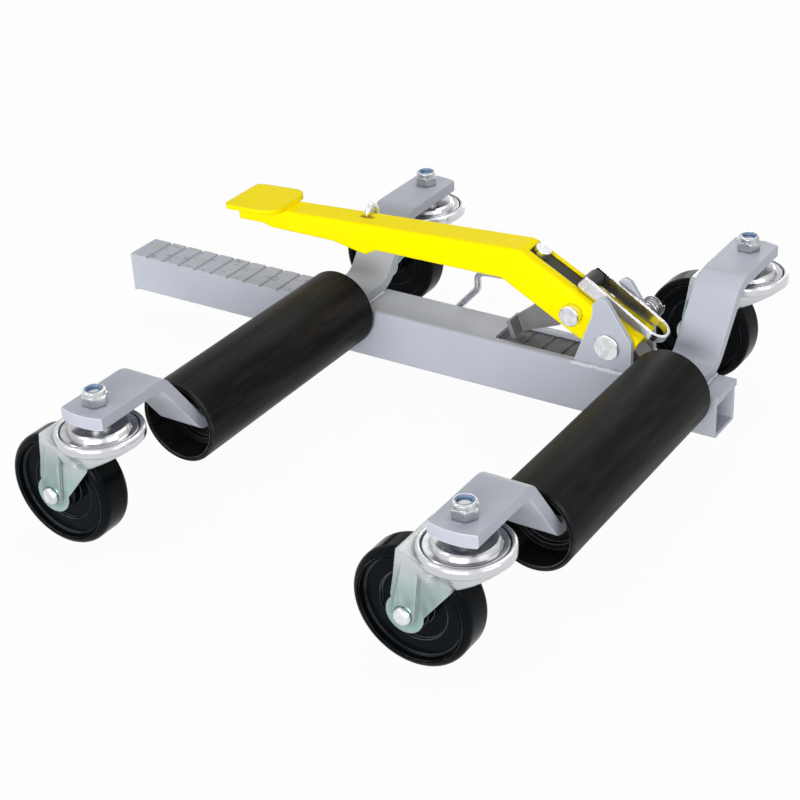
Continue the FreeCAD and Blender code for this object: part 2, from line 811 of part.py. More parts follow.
def is_ridge(edge):
    """True for the edges between the pedal's top face and its walls."""
    middle = edge.valueAt((edge.FirstParameter + edge.LastParameter) / 2)
    dx = middle.x - knee_x
    dz = middle.z - knee_z
    arm_rise = dx * off_arm[0] + dz * off_arm[1]
    incline_rise = dx * off_slope[0] + dz * off_slope[1]
    on_top = min(abs(arm_rise), abs(incline_rise)) < ridge_share * knee_radius
    above = max(arm_rise, incline_rise) > -pedal_sheet
    lying = abs(edge.tangentAt(edge.FirstParameter).z) < upright_share
    at_wall = abs(middle.y - crossbar_y) > upright_share * toe_half_width
    return on_top and above and lying and at_wall


def pedal_openings():
    """Window, clip slot and pin holes of the pedal."""
    top = cut_overrun
    under = -pedal_sheet - slide_clearance
    window = incline_corners([(pedal_window_start, top, 0), (pedal_window_end, top, 0),
                              (pedal_window_end, under, 0), (pedal_window_start, under, 0)])
    cuts = side_plate(window, lane_y - pedal_window_half_width, lane_y + pedal_window_half_width)
    start = slot_reach - slot_length / 2
    end = slot_reach + slot_length / 2
    spots = [on_arm(start, -top), on_arm(end, -top), on_arm(end, -under), on_arm(start, -under)]
    slot_near = crossbar_y + slot_offset - slot_width / 2
    cuts = cuts.fuse(side_plate([spot + (0,) for spot in spots], slot_near, slot_near + slot_width))
    near = crossbar_y - 2 * pedal_half_width
    far = crossbar_y + 2 * pedal_half_width
    cuts = cuts.fuse(rod_y(pivot_radius + running_clearance, pivot_x, pivot_z, near, far))
    return cuts.fuse(rod_y(pawl_pin_radius + running_clearance, pawl_pin_x, pawl_pin_z, near, far))


def pedal_pad():
    end = pedal_arm_length + pad_overhang
    start = end - pad_length
    half = pad_width / 2
    corners = [(start, -half, pad_rear_rounding), (start, half, pad_rear_rounding),
               (end, half, pad_front_rounding), (end, -half, pad_front_rounding)]

    def place(a, across):
        x, z = on_arm(a, 0)
        return Vector(x, crossbar_y + across, z)

    lift = Vector(off_arm[0], 0, off_arm[1]) * pad_thickness
    return rounded_face(corners, place).extrude(lift)


def release_bar():
    """The dark bar under the pedal's window, with the knuckle that carries the yoke."""
    top = -pedal_sheet - seat_gap
    under = top - release_bar_thickness
    strip = incline_corners([(release_bar_start, top, 0), (release_bar_end, top, 0),
                             (release_bar_end, under, 0), (release_bar_start, under, 0)])
    shape = side_plate(strip, lane_y - release_bar_half_width, lane_y + release_bar_half_width)
    near = knuckle_reach - knuckle_radius
    far = knuckle_reach + knuckle_radius
    middle = (top + under) / 2
    lug = incline_corners([(near, knuckle_rise, 0), (far, knuckle_rise, 0),
                           (far, middle, 0), (near, middle, 0)])
    low = lane_y - knuckle_half_width + rest_gap
    high = lane_y + knuckle_half_width - rest_gap
    shape = shape.fuse(side_plate(lug, low, high))
    shape = shape.fuse(rod_y(knuckle_radius, knuckle_x, knuckle_z, low, high))
    bolt_x, bolt_z = on_incline(bolt_reach, 0)
    direction = Vector(off_slope[0], 0, off_slope[1])
    base = Vector(bolt_x, lane_y, bolt_z) - direction * incline_depth
    bolt_bore = bolt_shank_radius + running_clearance
    shape = shape.cut(Part.makeCylinder(bolt_bore, 2 * incline_depth, base, direction))
    pin_bore = yoke_pin_radius + running_clearance
    return shape.cut(rod_y(pin_bore, knuckle_x, knuckle_z, low, high)).removeSplitter()


def window_bolt():
    """Round-headed bolt through the release bar, with its nut below."""
    seat = -pedal_sheet - seat_gap
    under = seat - release_bar_thickness
    end = under - bolt_nut_height
    corners = [(0, end, 0), (bolt_head_radius, end, 0), (bolt_head_radius, under, 0),
               (bolt_shank_radius, under, 0), (bolt_shank_radius, seat, 0), (bolt_head_radius, seat, 0),
               (bolt_head_radius, seat + bolt_head_height, pin_rounding), (0, seat + bolt_head_height, 0)]
    bolt = turned(corners, ORIGIN)
    bolt.rotate(ORIGIN, AXIS_Y, pedal_slope)
    x, z = on_incline(bolt_reach, 0)
    bolt.translate(Vector(x, lane_y, z))
    return bolt


def yoke_pin():
    return rod_y(yoke_pin_radius, knuckle_x, knuckle_z, lane_y - yoke_half_width, lane_y + yoke_half_width)


def release_yoke():
    """A strip bent to a narrow loop, cut to a tapering side outline."""
    heel = knuckle_reach - yoke_heel
    tip = knuckle_reach + yoke_reach
    wide = yoke_half_width - yoke_sheet / 2
    narrow = yoke_end_half_width - yoke_sheet / 2
    path = [(heel, -wide), (tip - yoke_sheet / 2, -narrow), (tip - yoke_sheet / 2, narrow), (heel, wide)]
    loop_radius = narrow - rest_gap

    def place(s, across):
        x, z = on_incline(s, -incline_depth)
        return Vector(x, lane_y + across, z)

    lift = Vector(off_slope[0], 0, off_slope[1]) * (2 * incline_depth)
    ribbon = rounded_face(strap_corners(path, yoke_sheet, loop_radius), place).extrude(lift)
    low = knuckle_rise - yoke_rise + yoke_lift
    outline = incline_corners([(heel, knuckle_rise - yoke_end_drop, yoke_rounding),
                               (heel + yoke_rounding, knuckle_rise + yoke_rise, yoke_rounding / 2),
                               (tip, knuckle_rise + yoke_end_rise, yoke_rounding / 2),
                               (tip, knuckle_rise - yoke_end_drop, yoke_rounding / 2),
                               (knuckle_reach + 2 * yoke_heel, low, yoke_rounding),
                               (knuckle_reach, low, yoke_rounding)])
    sides = side_plate(outline, lane_y - 2 * yoke_half_width, lane_y + 2 * yoke_half_width)
    bore = rod_y(yoke_pin_radius + running_clearance, knuckle_x, knuckle_z,
                 lane_y - 2 * yoke_half_width, lane_y + 2 * yoke_half_width)
    return ribbon.common(sides).cut(bore).removeSplitter()


# Ears and pins

def ear(side):
    left = pivot_x - ear_base + ear_toe
    corners = [(left, tube_top, 0)]
    for along, up in ear_outline_shares:
        corners.append((left + along * ear_base, tube_top + up * ear_height, ear_rounding))
    corners.append((left + ear_base, tube_top, 0))
    inner = crossbar_y + side * ear_inner
    outer = inner + side * ear_thickness
    plate = side_plate(corners, inner, outer)
    bore = pivot_radius + running_clearance
    hole = rod_y(bore, pivot_x, pivot_z, crossbar_y - tube_size, crossbar_y + tube_size)
    return plate.cut(hole)


def post_spot():
    return pivot_x + post_forward, pivot_z + post_rise


def pivot_pin():
    seat = tube_size / 2
    near = -seat - pivot_head_height
    far = seat + pivot_tail
    corners = [(0, near, 0), (pivot_head_radius, near, pin_rounding), (pivot_head_radius, -seat, 0),
               (pivot_radius, -seat, 0), (pivot_radius, far, pin_rounding), (0, far, 0)]
    return turned(corners, Vector(pivot_x, crossbar_y, pivot_z), True)


def pivot_clip():
    corners = [(pivot_radius, 0, 0), (clip_radius, 0, 0), (clip_radius, clip_thickness, 0),
               (pivot_radius, clip_thickness, 0)]
    return turned(corners, Vector(pivot_x, tube_back, pivot_z), True)


def pivot_spacer(side):
    start = pedal_half_width + running_clearance
    thickness = ear_inner - start
    y = crossbar_y + (start if side > 0 else -start - thickness)
    corners = [(pivot_radius, 0, 0), (spacer_radius, 0, 0), (spacer_radius, thickness, 0),
               (pivot_radius, thickness, 0)]
    return turned(corners, Vector(pivot_x, y, pivot_z), True)


def pawl_pin():
    near = -pedal_half_at(pawl_pin_x + pawl_pin_head_radius)
    far = hook_y + hook_eye_half + rest_gap
    end = far + clip_thickness
    corners = [(0, near - pawl_pin_head, 0), (pawl_pin_head_radius, near - pawl_pin_head, pin_rounding),
               (pawl_pin_head_radius, near, 0), (pawl_pin_radius, near, 0), (pawl_pin_radius, far, 0),
               (clip_radius, far, 0), (clip_radius, end, 0), (0, end, 0)]
    return turned(corners, Vector(pawl_pin_x, crossbar_y, pawl_pin_z), True)


def spring_post():
    x, z = post_spot()
    corners = [(0, 0, 0), (post_radius, 0, 0), (post_radius, post_length, pin_rounding), (0, post_length, 0)]
    return turned(corners, Vector(x, tube_back, z), True)


def return_spring():
    """Close turns about the post, each half turn drawn as two tangent arcs."""
    x, z = post_spot()
    start_y = tube_back + rest_gap + spring_wire_radius

    def spot(turn):
        angle = 2 * math.pi * turn
        y = start_y + spring_pitch * turn
        return Vector(x + spring_radius * math.cos(angle), y, z + spring_radius * math.sin(angle))

    def heading(turn):
        angle = 2 * math.pi * turn
        around = 2 * math.pi * spring_radius
        return Vector(-math.sin(angle) * around, spring_pitch, math.cos(angle) * around).normalize()

    leg = 2 * spring_wire_radius
    edges = [Part.makeLine(spot(0) - heading(0) * leg, spot(0))]
    quarters = [k / 4 for k in range(4 * spring_turns + 1)]
    for a, b in zip(quarters, quarters[1:]):
        edges += tangent_arcs(spot(a), heading(a), spot(b), heading(b))
    edges.append(Part.makeLine(spot(spring_turns), spot(spring_turns) + heading(spring_turns) * leg))
    coil = Part.Wire(edges)
    print("spring gap between turns", round(coil_gap(coil), 3))
    return swept_rod(coil, spring_wire_radius)


def coil_gap(coil):
    """Least clear space between turns, measured on points along the wire."""
    points = coil.discretize(Number=samples_per_turn * spring_turns)
    half_turn = samples_per_turn // 2
    spans = [(b - a).Length for i, a in enumerate(points) for b in points[i + half_turn:]]
    return min(spans) - 2 * spring_wire_radius


def tangent_arcs(start, start_heading, end, end_heading):
    """Two arcs that leave start and reach end along the given headings."""
    chord = end - start
    both = start_heading + end_heading
    spread = 2 * (1 - start_heading.dot(end_heading))
    reach = chord.dot(both)
    step = (math.sqrt(reach * reach + spread * chord.dot(chord)) - reach) / spread
    joint = (start + end + (start_heading - end_heading) * step) / 2
    return [one_arc(start, start_heading, joint), one_arc(end, end_heading * -1, joint)]


def one_arc(start, heading, end):
    chord = end - start
    ahead = Vector(chord).normalize()
    bend = heading.getAngle(ahead)
    aside = (heading - ahead * heading.dot(ahead)).normalize()
    middle = start + chord / 2 + aside * (chord.Length / 2 * math.tan(bend / 2))
    return Part.Arc(start, middle, end).toShape()


# Pawls

def drive_pawl():
    """Bent plate: a rear cheek on the pedal's pin, and a lip across the rack at its left end."""
    low = crossbar_y - pawl_half_width
    high = crossbar_y + pawl_half_width
    tip_x = pawl_pin_x - pawl_reach
    tip_z = bar_top + pawl_clearance
    top_x = tip_x - pawl_lip_lean
    top_z = tip_z + pawl_lip_height
    lean = Vector(top_x - tip_x, top_z - tip_z, 0).normalize()
    back_x = lean.y * pawl_sheet
    back_z = -lean.x * pawl_sheet
    lip = [(tip_x, tip_z, 0), (top_x, top_z, 0), (top_x - back_x, top_z - back_z, pin_rounding),
           (tip_x - back_x, tip_z - back_z, pin_rounding)]
    run_x = pawl_pin_x - top_x
    run_z = pawl_pin_z - top_z
    cheek = [(tip_x, tip_z, 0), (top_x - back_x / 2, top_z - back_z / 2, 0), (top_x, top_z, 0)]
    for along, up in pawl_cheek_shares:
        cheek.append((top_x + along * run_x, top_z + up * run_z, 0))
    shape = side_plate(cheek, high - pawl_sheet, high).fuse(side_plate(lip, low, high))
    shape = shape.fuse(rod_y(pawl_boss_radius, pawl_pin_x, pawl_pin_z, low, high))
    bore = rod_y(pawl_pin_radius + running_clearance, pawl_pin_x, pawl_pin_z, low, high)
    return shape.cut(bore).removeSplitter()


def holding_pawl():
    """Pawl on the main pivot, with a short release tail at the right."""
    tip_x = pivot_x - hold_reach
    tip_z = bar_top + hold_clearance + hold_tip_radius
    tail_x = pivot_x + hold_tail_reach
    tail_z = pivot_z - hold_tail_drop
    low = crossbar_y - pawl_half_width
    high = crossbar_y + pawl_half_width
    shape = rod_y(hold_boss_radius, pivot_x, pivot_z, low, high)
    for x, z, radius in ((tip_x, tip_z, hold_tip_radius), (tail_x, tail_z, hold_tail_radius)):
        shape = shape.fuse(side_plate(belt(pivot_x, pivot_z, hold_depth, x, z, radius), low, high))
        shape = shape.fuse(rod_y(radius, x, z, low, high))
    bore = rod_y(pivot_radius + running_clearance, pivot_x, pivot_z, low, high)
    return shape.cut(bore).removeSplitter()


def belt(x, z, half, end_x, end_z, end_half):
    """Corners of a tapering bar between two centres."""
    start = Vector(x, z, 0)
    end = Vector(end_x, end_z, 0)
    run = (end - start).normalize()
    aside = Vector(-run.y, run.x, 0)
    points = [start + aside * half, end + aside * end_half, end - aside * end_half, start - aside * half]
    return [(p.x, p.y, 0) for p in points]


# Bent rods

def lock_hook():
    y = crossbar_y + hook_y
    eye = Vector(pawl_pin_x, y, pawl_pin_z)
    elbow = eye + Vector(-hook_run, 0, -hook_sag)
    low = elbow + Vector(0, 0, -hook_drop)
    tip = low + Vector(-hook_kick, 0, -hook_kick_drop)
    start = eye + (elbow - eye).normalize() * (pawl_pin_radius + hook_radius / 2)
    rod = swept_rod(rounded_path([start, elbow, low, tip], hook_bend), hook_radius)
    boss = rod_y(hook_eye_radius, eye.x, eye.z, y - hook_eye_half, y + hook_eye_half)
    bore_radius = pawl_pin_radius + running_clearance
    bore = rod_y(bore_radius, eye.x, eye.z, y - 2 * hook_eye_half, y + 2 * hook_eye_half)
    return rod.fuse(boss).cut(bore).removeSplitter()


def pedal_clip():
    """Wire through the pedal's slot and over its rear edge."""
    x, top = on_arm(slot_reach, 0)
    inner_y = crossbar_y + slot_offset
    outer_y = crossbar_y + pedal_half_at(x) + seat_gap + clip_wire_radius
    crest = top + clip_rise
    points = [Vector(x, inner_y, top - clip_inner_drop), Vector(x, inner_y, crest),
              Vector(x, outer_y, crest), Vector(x, outer_y, top - clip_outer_drop)]
    return swept_rod(rounded_path(points, clip_bend), clip_wire_radius)


# Files

def at(shape, x, y):
    copy = shape.copy()
    copy.translate(Vector(x, y, 0))
    return copy


def save_side(side, x, frame_front, frame_seat):
    """Arms, axle, roller and stem hardware on one side."""
    front_y = -stem_span / 2
    rear_y = stem_span / 2
    save(side + "_front_arm", front_arm(x))
    save(side + "_rear_arm", rear_arm(x, frame_seat, frame_front))
    save(side + "_axle", rod_y(axle_radius, x, roller_height, foot_end, frame_front))
    save(side + "_roller_tube", roller_tube(x))
    save(side + "_roller_hubs", front_hub(x), hub(x, roller_back - rear_hub_inset, -1))
    save(side + "_hub_screw", hub_screw(x))
    for name, piece in (("stems", stem()), ("stem_nuts", stem_nut()), ("nylon_rings", nylon_ring()),
                        ("race_caps", race_cap())):
        save(side + "_" + name, at(piece, x, front_y), at(piece, x, rear_y))


def save_caster(name, x, y):
    pieces = (("fork", fork()), ("axle_rivet", axle_rivet()), ("wheel", wheel()), ("hub_bush", hub_bush()))
    for kind, piece in pieces:
        save(name + "_" + kind, at(piece, x, y))


os.makedirs("parts", exist_ok=True)
save("outer_tube", outer_tube())
save("ratchet_tube", ratchet_tube())
save("rack_plate", rack_plate())
save("bar_end_cap", bar_end_cap())
save_side("left", left_x, tube_front, tube_top)
save_side("right", right_x, bar_front, bar_top)
for row, row_y in (("front", -stem_span / 2), ("rear", stem_span / 2)):
    save_caster(row + "_left", left_x, row_y)
    save_caster(row + "_right", right_x, row_y)
save("ear_front", ear(-1))
save("ear_rear", ear(1))
save("pivot_pin", pivot_pin())
save("pivot_clip", pivot_clip())
save("pivot_spacers", pivot_spacer(-1), pivot_spacer(1))
save("spring_post", spring_post())
save("return_spring", return_spring())
save("pedal_channel", pedal_channel())
save("pedal_pad", pedal_pad())
save("pawl_pin", pawl_pin())
save("release_bar", release_bar())
save("window_bolt", window_bolt())
save("yoke_pin", yoke_pin())
save("release_yoke", release_yoke())
save("pedal_clip", pedal_clip())
save("drive_pawl", drive_pawl())
save("holding_pawl", holding_pawl())
save("lock_hook", lock_hook())
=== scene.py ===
import json
import math

import bpy
from mathutils import Matrix, Vector


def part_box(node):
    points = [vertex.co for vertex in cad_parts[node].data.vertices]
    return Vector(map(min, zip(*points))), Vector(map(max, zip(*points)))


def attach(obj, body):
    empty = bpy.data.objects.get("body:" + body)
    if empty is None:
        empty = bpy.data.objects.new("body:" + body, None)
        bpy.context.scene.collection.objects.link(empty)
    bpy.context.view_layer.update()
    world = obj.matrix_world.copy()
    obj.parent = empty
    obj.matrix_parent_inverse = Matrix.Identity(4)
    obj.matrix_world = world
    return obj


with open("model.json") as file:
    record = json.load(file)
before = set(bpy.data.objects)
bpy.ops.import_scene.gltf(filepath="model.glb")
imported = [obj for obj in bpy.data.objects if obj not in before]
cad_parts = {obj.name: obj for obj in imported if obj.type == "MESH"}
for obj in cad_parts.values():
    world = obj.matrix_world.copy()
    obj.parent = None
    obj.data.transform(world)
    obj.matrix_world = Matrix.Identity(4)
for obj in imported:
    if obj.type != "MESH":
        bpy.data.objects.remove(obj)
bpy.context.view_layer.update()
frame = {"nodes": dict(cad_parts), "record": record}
scene = bpy.context.scene


# Material building blocks

SHADER_SAMPLES = 6
NOISE_RANGE = (0.3, 0.7)


def new_material(name, **sockets):
    """A material whose constant values are set on the shader's own sockets."""
    material = bpy.data.materials.new(name)
    material.use_nodes = True
    tree = material.node_tree
    surface = tree.nodes["Principled BSDF"]
    for socket, value in sockets.items():
        surface.inputs[socket.replace("_", " ")].default_value = value
    return material, tree, surface


def add(tree, kind, **inputs):
    """A new node with its inputs linked or set."""
    made = tree.nodes.new(kind)
    for socket, value in inputs.items():
        put(tree, value, made.inputs[socket.replace("_", " ")])
    return made


def put(tree, value, socket):
    """Links an output to a socket, or sets the socket to a plain value."""
    if isinstance(value, bpy.types.NodeSocket):
        tree.links.new(value, socket)
    else:
        socket.default_value = value


def place(tree, stretch=(1, 1, 1)):
    """The piece's own coordinates in metres, stretched along its axes."""
    where = add(tree, "ShaderNodeTexCoord")
    return add(tree, "ShaderNodeMapping", Vector=where.outputs["Object"], Scale=stretch).outputs["Vector"]


def noise(tree, scale, detail=3.0, grit=0.55, stretch=(1, 1, 1)):
    """Cloudy noise, with its scale counted per metre."""
    where = place(tree, stretch)
    made = add(tree, "ShaderNodeTexNoise", Vector=where, Scale=scale, Detail=detail, Roughness=grit)
    return made.outputs["Fac"]


def spread(tree, value, low, high, to_low, to_high):
    """A value between low and high carried onto another range, with its ends held."""
    made = add(tree, "ShaderNodeMapRange", Value=value)
    for socket, number in (("From Min", low), ("From Max", high), ("To Min", to_low), ("To Max", to_high)):
        put(tree, number, made.inputs[socket])
    return made.outputs["Result"]


def mask(tree, value, none, full, most=1.0):
    """Nought where the value is at none, and the most where it is at full."""
    return spread(tree, value, none, full, 0.0, most)


def patches(tree, scale, none, full, most=1.0, **kind):
    """A mask made from noise."""
    return mask(tree, noise(tree, scale, **kind), none, full, most)


def mix(tree, amount, first, second):
    """A colour that goes from the first to the second with the amount."""
    made = tree.nodes.new("ShaderNodeMix")
    made.data_type = "RGBA"
    put(tree, amount, made.inputs["Factor"])
    first_socket, second_socket = [s for s in made.inputs if s.type == "RGBA"]
    put(tree, first, first_socket)
    put(tree, second, second_socket)
    return [s for s in made.outputs if s.type == "RGBA"][0]


def maths(tree, operation, first, second):
    """One step of arithmetic on two values."""
    made = tree.nodes.new("ShaderNodeMath")
    made.operation = operation
    put(tree, first, made.inputs[0])
    put(tree, second, made.inputs[1])
    return made.outputs["Value"]


def times(tree, product, *values):
    """The product of several values."""
    for value in values:
        product = maths(tree, "MULTIPLY", product, value)
    return product


def rounded_normal(tree, radius):
    """The surface's normal, with sharp edges rounded off."""
    made = add(tree, "ShaderNodeBevel", Radius=radius)
    made.samples = SHADER_SAMPLES
    return made.outputs["Normal"]


def edges(tree, radius, sharp, flat=0.985):
    """One along sharp edges and nought on open faces."""
    face = add(tree, "ShaderNodeNewGeometry")
    likeness = tree.nodes.new("ShaderNodeVectorMath")
    likeness.operation = "DOT_PRODUCT"
    put(tree, rounded_normal(tree, radius), likeness.inputs[0])
    put(tree, face.outputs["Normal"], likeness.inputs[1])
    return mask(tree, likeness.outputs["Value"], none=flat, full=sharp)


def hollows(tree, reach, tight, flat=0.9):
    """One in tight corners and nought on open faces; it darkens corners and creases as painted shade."""
    made = add(tree, "ShaderNodeAmbientOcclusion", Distance=reach)
    made.samples = SHADER_SAMPLES
    return mask(tree, made.outputs["AO"], none=flat, full=tight)


def paint(tree, surface, body):
    """Gives the surface its colour."""
    put(tree, body, surface.inputs["Base Color"])


def edge_highlight_and_wear(tree, body, bright, radius, sharp):
    """A colour that turns bright along sharp edges: mostly a painted highlight, partly edge wear."""
    return mix(tree, edges(tree, radius, sharp), body, bright)


def bump(tree, surface, height, distance, strength, radius):
    """Fine relief, on edges that are rounded off to the radius."""
    made = add(tree, "ShaderNodeBump", Height=height, Distance=distance, Strength=strength,
               Normal=rounded_normal(tree, radius))
    put(tree, made.outputs["Normal"], surface.inputs["Normal"])


def uneven(tree, surface, scale, rough, smoother=0.06, rougher=0.09, detail=4.0, **kind):
    """Roughness that drifts over the surface."""
    cloud = noise(tree, scale, detail, **kind)
    drift = spread(tree, cloud, *NOISE_RANGE, rough - smoother, rough + rougher)
    put(tree, drift, surface.inputs["Roughness"])


def colour(r, g, b):
    """An opaque colour."""
    return (r, g, b, 1.0)


# Paints, plates and plastics, with the places in metres where a tone begins and where it is full

RACK_FOOT = (0.0621, 0.0624)
TEETH_END = (0.12, 0.05)
# Where the dark band under the pawls begins and ends: worn steel together with painted shade.
WORN_SHADED_LEFT = (0.07, 0.10)
WORN_SHADED_RIGHT = (0.25, 0.235)
# Heights where the fork leg's painted reflection tint and streaks begin and are full.
FORK_LEG = (0.104, 0.062)


def powder_coat(name, base, deep, bright, rough):
    """Satin sprayed coat with fine orange peel and thin, lighter edges that are a painted highlight."""
    material, tree, surface = new_material(name, Specular_IOR_Level=0.35)
    body = mix(tree, patches(tree, scale=14.0, none=0.35, full=0.68), base, deep)
    paint(tree, surface, edge_highlight_and_wear(tree, body, bright, radius=0.0016, sharp=0.86))
    uneven(tree, surface, scale=60.0, rough=rough)
    peel = noise(tree, scale=900.0, detail=2.0)
    bump(tree, surface, peel, distance=0.00012, strength=0.35, radius=0.0009)
    return material


def scuffed_coat(name, base, deep, bright, bare, steel, worn_steel, grease):
    """Grey coat worn by the sliding fit: streaks, greasy teeth, dark steel under the pawls that also paints
    the shade inside the window, and painted highlights along edges.
    """
    material, tree, surface = new_material(name, Specular_IOR_Level=0.3)
    where = add(tree, "ShaderNodeSeparateXYZ", Vector=place(tree))
    along = where.outputs["X"]
    normal = add(tree, "ShaderNodeNewGeometry").outputs["Normal"]
    facing = add(tree, "ShaderNodeSeparateXYZ", Vector=normal)
    upward = mask(tree, facing.outputs["Z"], none=0.3, full=0.9)
    rack = mask(tree, where.outputs["Z"], *RACK_FOOT)
    body = mix(tree, patches(tree, scale=18.0, none=0.35, full=0.68), base, deep)
    most_streak = 0.5
    streak = patches(tree, scale=60.0, none=0.55, full=0.72, most=most_streak,
                     detail=4.0, grit=0.6, stretch=(0.25, 2.2, 1.0))
    body = mix(tree, times(tree, streak, upward), body, bare)
    greasy = times(tree, rack, mask(tree, along, *TEETH_END), upward)
    for tint, scale, none in grease:
        blot = patches(tree, scale, none, full=none + 0.05, most=0.75,
                       detail=5.0, grit=0.65, stretch=(0.9, 1.2, 1.0))
        body = mix(tree, times(tree, blot, greasy), body, tint)
    # Dark band under the pawls: bare steel, and painted shade where the window shades the rack at rest.
    worn_and_shaded = times(tree, rack, mask(tree, along, *WORN_SHADED_LEFT), mask(tree, along, *WORN_SHADED_RIGHT))
    wear = patches(tree, scale=34.0, none=0.35, full=0.7, detail=4.0, grit=0.6, stretch=(1.0, 2.5, 1.0))
    body = mix(tree, worn_and_shaded, body, mix(tree, wear, steel, worn_steel))
    paint(tree, surface, edge_highlight_and_wear(tree, body, bright, radius=0.0012, sharp=0.86))
    sheen = spread(tree, streak, 0.0, most_streak, to_low=0.48, to_high=0.34)
    put(tree, sheen, surface.inputs["Roughness"])
    bump(tree, surface, noise(tree, scale=170.0, detail=4.0), distance=0.0005, strength=0.35, radius=0.0012)
    return material


def weld_coat(name, base, crease_shade, rough):
    """Sprayed coat over a bead, with light crests and dark creases: the crests are a painted highlight and
    the creases painted shade.
    """
    material, tree, surface = new_material(name, Specular_IOR_Level=0.5)
    paint(tree, surface, mix(tree, hollows(tree, reach=0.005, tight=0.35), base, crease_shade))
    uneven(tree, surface, scale=60.0, rough=rough)
    bump(tree, surface, noise(tree, scale=420.0), distance=0.0003, strength=0.4, radius=0.0006)
    return material


def gloss_paint(name, base, deep, bright, rough):
    """Strong smooth paint, slightly uneven in tone and lighter along its edges as a painted highlight."""
    material, tree, surface = new_material(name, Specular_IOR_Level=0.04)
    body = mix(tree, patches(tree, scale=9.0, none=0.35, full=0.7), base, deep)
    paint(tree, surface, edge_highlight_and_wear(tree, body, bright, radius=0.0014, sharp=0.84))
    uneven(tree, surface, scale=40.0, rough=rough)
    peel = noise(tree, scale=420.0, detail=2.0)
    bump(tree, surface, peel, distance=0.00014, strength=0.3, radius=0.0026)
    return material


def black_gloss(name, base, sheen_smear_tint, edge, rough, stretch, level):
    """Black surface with handling smears stretched along it that also paint a sheen, and painted highlights
    along its edges.
    """
    material, tree, surface = new_material(name, Specular_IOR_Level=level)
    sheen_smear_mask = patches(tree, scale=32.0, none=0.42, full=0.68, most=0.7, detail=4.0, grit=0.6, stretch=stretch)
    glint_patches = spread(tree, noise(tree, scale=30.0), 0.4, 0.6, to_low=0.2, to_high=1.0)
    edge_glint = times(tree, edges(tree, radius=0.0018, sharp=0.88, flat=0.995), glint_patches)
    # Painted sheen in the smears, and painted highlights along the edges.
    paint(tree, surface, mix(tree, edge_glint, mix(tree, sheen_smear_mask, base, sheen_smear_tint), edge))
    uneven(tree, surface, scale=30.0, rough=rough, rougher=0.1, grit=0.6, stretch=stretch)
    marks = noise(tree, scale=260.0, grit=0.6, stretch=stretch)
    bump(tree, surface, marks, distance=0.00012, strength=0.35, radius=0.001)
    return material


def zinc_plate(name, base, shade, rough, grain, mottle, dents):
    """Plated steel with a mottled tone, pressing marks and darker creases that are painted shade."""
    material, tree, surface = new_material(name, Metallic=1.0)
    body = mix(tree, patches(tree, mottle, none=0.38, full=0.66, detail=5.0, grit=0.6), base, shade)
    crease_shade = colour(*(0.5 * tone for tone in shade[:3]))
    # Painted shade: tight corners darken to half the shade tone.
    paint(tree, surface, mix(tree, hollows(tree, reach=0.003, tight=0.4), body, crease_shade))
    uneven(tree, surface, scale=70.0, rough=rough)
    bump(tree, surface, noise(tree, grain), distance=0.0002, strength=dents, radius=0.0007)
    return material


def pressed_zinc(name, silver, green, deep, bright, rough):
    """Plated sheet: silver at the dished top; down the legs a painted greenish reflection and dark streaks,
    partly drawing marks and partly painted dark reflection; painted shade in hollows and painted highlights
    on edges.
    """
    material, tree, surface = new_material(name, Metallic=1.0)
    height = add(tree, "ShaderNodeSeparateXYZ", Vector=place(tree)).outputs["Z"]
    leg = mask(tree, height, *FORK_LEG)
    reflection_patches = spread(tree, noise(tree, scale=30.0, detail=4.0), 0.3, 0.6, to_low=0.55, to_high=1.0)
    # Painted reflection: the legs take a greenish tint.
    body = mix(tree, times(tree, leg, reflection_patches), silver, green)
    streak = patches(tree, scale=90.0, none=0.45, full=0.72, most=0.5,
                     detail=4.0, grit=0.6, stretch=(1.0, 1.0, 0.18))
    drift_and_reflection = patches(tree, scale=42.0, none=0.46, full=0.64, most=0.7,
                    detail=2.0, grit=0.5, stretch=(1.0, 1.0, 0.4))
    # Dark streaks down the legs: drawing marks together with painted dark reflection.
    for mark in (streak, drift_and_reflection):
        body = mix(tree, times(tree, leg, mark), body, deep)
    # Painted shade in hollows and in the valley beside the rib.
    body = mix(tree, hollows(tree, reach=0.014, tight=0.35), body, deep)
    body = mix(tree, hollows(tree, reach=0.009, tight=0.55, flat=0.97), body, deep)
    # Painted highlight along edges.
    edge_glint = times(tree, edges(tree, radius=0.003, sharp=0.80), 0.35)
    paint(tree, surface, mix(tree, edge_glint, body, bright))
    uneven(tree, surface, scale=60.0, rough=rough)
    bump(tree, surface, noise(tree, scale=70.0), distance=0.0004, strength=0.06, radius=0.003)
    return material


def dark_steel(name, base, worn, edge, rough):
    """Dark steel with worn patches and lighter edges, partly worn and partly a painted highlight."""
    material, tree, surface = new_material(name, Metallic=0.35, Specular_IOR_Level=0.3)
    body = mix(tree, patches(tree, scale=40.0, none=0.4, full=0.72, most=0.7, detail=5.0), base, worn)
    paint(tree, surface, edge_highlight_and_wear(tree, body, edge, radius=0.0012, sharp=0.84))
    uneven(tree, surface, scale=90.0, rough=rough)
    bump(tree, surface, noise(tree, scale=700.0), distance=0.00015, strength=0.4, radius=0.0007)
    return material


def nylon(name, base, deep, rough):
    """Nylon of a lock nut's ring, slightly translucent."""
    material, tree, surface = new_material(name, Subsurface_Weight=0.1, Subsurface_Scale=0.002)
    paint(tree, surface, mix(tree, noise(tree, scale=220.0), base, deep))
    uneven(tree, surface, scale=300.0, rough=rough, rougher=0.06, detail=3.0)
    bump(tree, surface, noise(tree, scale=1500.0), distance=0.00005, strength=0.3, radius=0.0003)
    return material


# A finish for each material slot of the record

